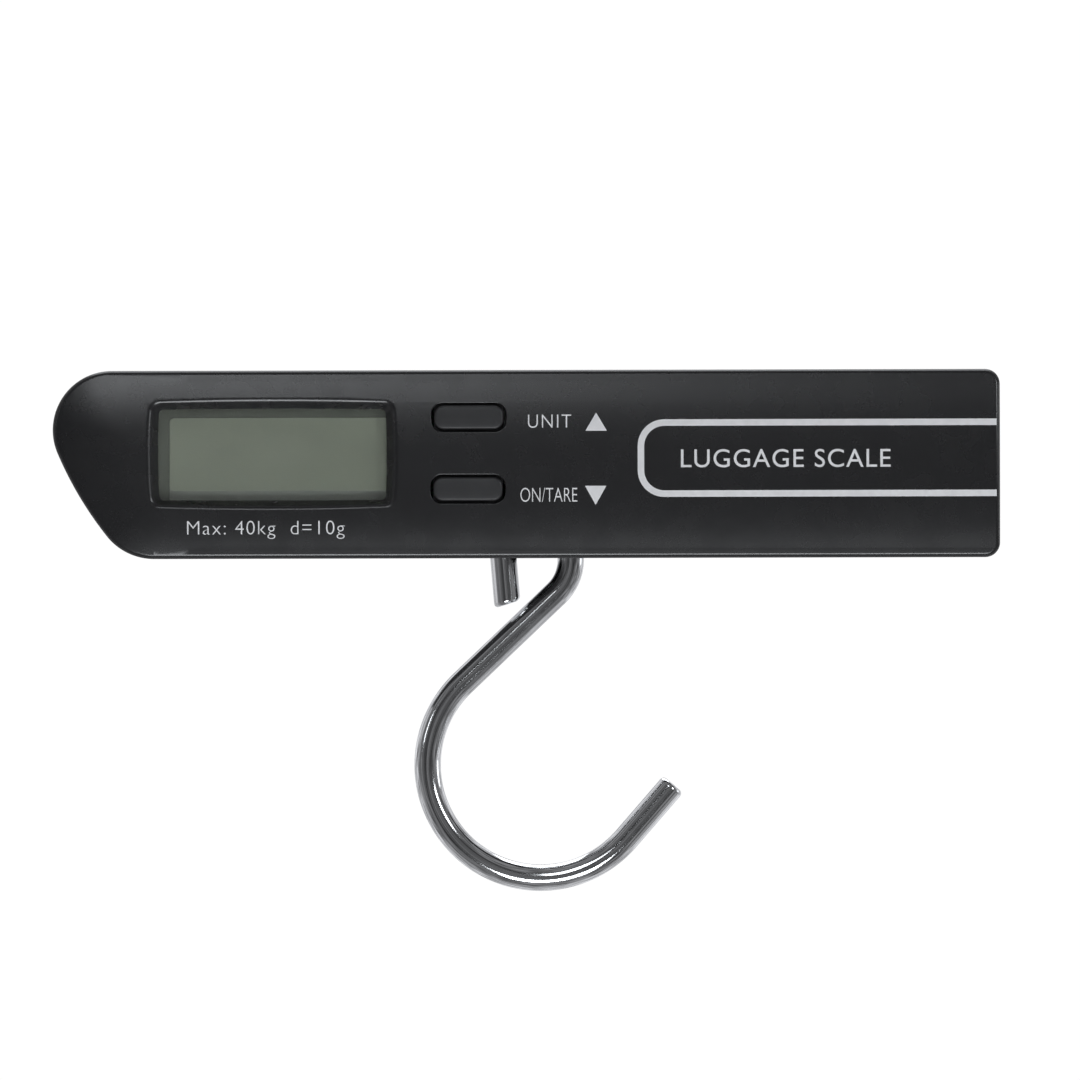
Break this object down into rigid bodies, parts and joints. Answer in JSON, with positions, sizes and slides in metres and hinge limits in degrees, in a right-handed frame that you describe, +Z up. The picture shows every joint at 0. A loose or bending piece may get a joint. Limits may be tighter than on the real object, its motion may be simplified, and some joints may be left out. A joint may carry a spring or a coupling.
{
  "type": "digital luggage scale",
  "caption": "Hand-held digital luggage scale: slim case with one raked end, sunk display, two press buttons, sliding battery cover and a swinging wire hook.",
  "frame": {"origin": "on the flat top face of the case, straight above the pin that the hook hangs on, in the plane of the hook", "axes": "+X along the case towards its square end, -Y out of the front face with the display, +Z up, away from the hook"},
  "size_m": [0.16, 0.0243, 0.0883],
  "materials": {
    "black_casing": "satin",
    "black_button": "satin",
    "clear_window": "gloss",
    "display_glass": "satin",
    "white_plastic": "satin",
    "grey_rubber": "matte",
    "green_board": "satin",
    "black_epoxy": "gloss",
    "chrome_wire": "polished",
    "plain_steel": "satin",
    "aluminium": "satin",
    "brass": "satin",
    "gauge_foil": "satin",
    "battery_wrap": "satin",
    "red_wire": "satin",
    "black_wire": "satin",
    "grey_wire": "satin"
  },
  "bodies": {
    "case": {"front_casing": "black_casing", "rear_casing": "black_casing", "display_window": "clear_window", "lcd_panel": "display_glass", "lcd_holder": "white_plastic", "zebra_strip_upper": "grey_rubber", "zebra_strip_lower": "grey_rubber", "main_pcb": "green_board", "chip_blob": "black_epoxy", "unit_switch": "black_epoxy", "tare_switch": "black_epoxy", "load_cell_beam": "aluminium", "strain_gauge_upper": "gauge_foil", "strain_gauge_lower": "gauge_foil", "beam_screw_left": "plain_steel", "beam_screw_right": "plain_steel", "threaded_insert_left": "brass", "threaded_insert_right": "brass", "front_link_plate": "plain_steel", "rear_link_plate": "plain_steel", "link_bolt": "plain_steel", "link_nut": "plain_steel", "hook_pin": "plain_steel", "hook_pin_clip": "plain_steel", "battery_upper": "battery_wrap", "battery_lower": "battery_wrap", "contact_spring_upper": "plain_steel", "contact_spring_lower": "plain_steel", "contact_plate_upper": "plain_steel", "contact_plate_lower": "plain_steel", "contact_bridge": "plain_steel", "load_cell_cable": "grey_wire", "battery_lead_red": "red_wire", "battery_lead_black": "black_wire", "case_screw_1": "plain_steel", "case_screw_2": "plain_steel", "case_screw_3": "plain_steel", "case_screw_4": "plain_steel", "pcb_screw_1": "plain_steel", "pcb_screw_2": "plain_steel"},
    "hook": {"hook": "chrome_wire"},
    "unit_key": {"unit_button": "black_button", "unit_plunger": "white_plastic"},
    "tare_key": {"tare_button": "black_button", "tare_plunger": "white_plastic"},
    "cover": {"battery_cover": "black_casing"}
  },
  "joints": [
    {"name": "hook_swing", "type": "hinge", "parent": "case", "child": "hook", "pos_m": [0, 0, -0.0236], "axis": [0, 1, 0], "range_deg": [-15, 15]},
    {"name": "unit_press", "type": "slide", "parent": "case", "child": "unit_key", "axis": [0, 1, 0], "range_m": [0, 0.0006], "stiffness_N_per_m": 2500, "springref_m": -0.0001},
    {"name": "tare_press", "type": "slide", "parent": "case", "child": "tare_key", "axis": [0, 1, 0], "range_m": [0, 0.0006], "stiffness_N_per_m": 2500, "springref_m": -0.0001},
    {"name": "cover_slide", "type": "slide", "parent": "case", "child": "cover", "axis": [1, 0, 0], "range_m": [0, 0.062]}
  ]
}
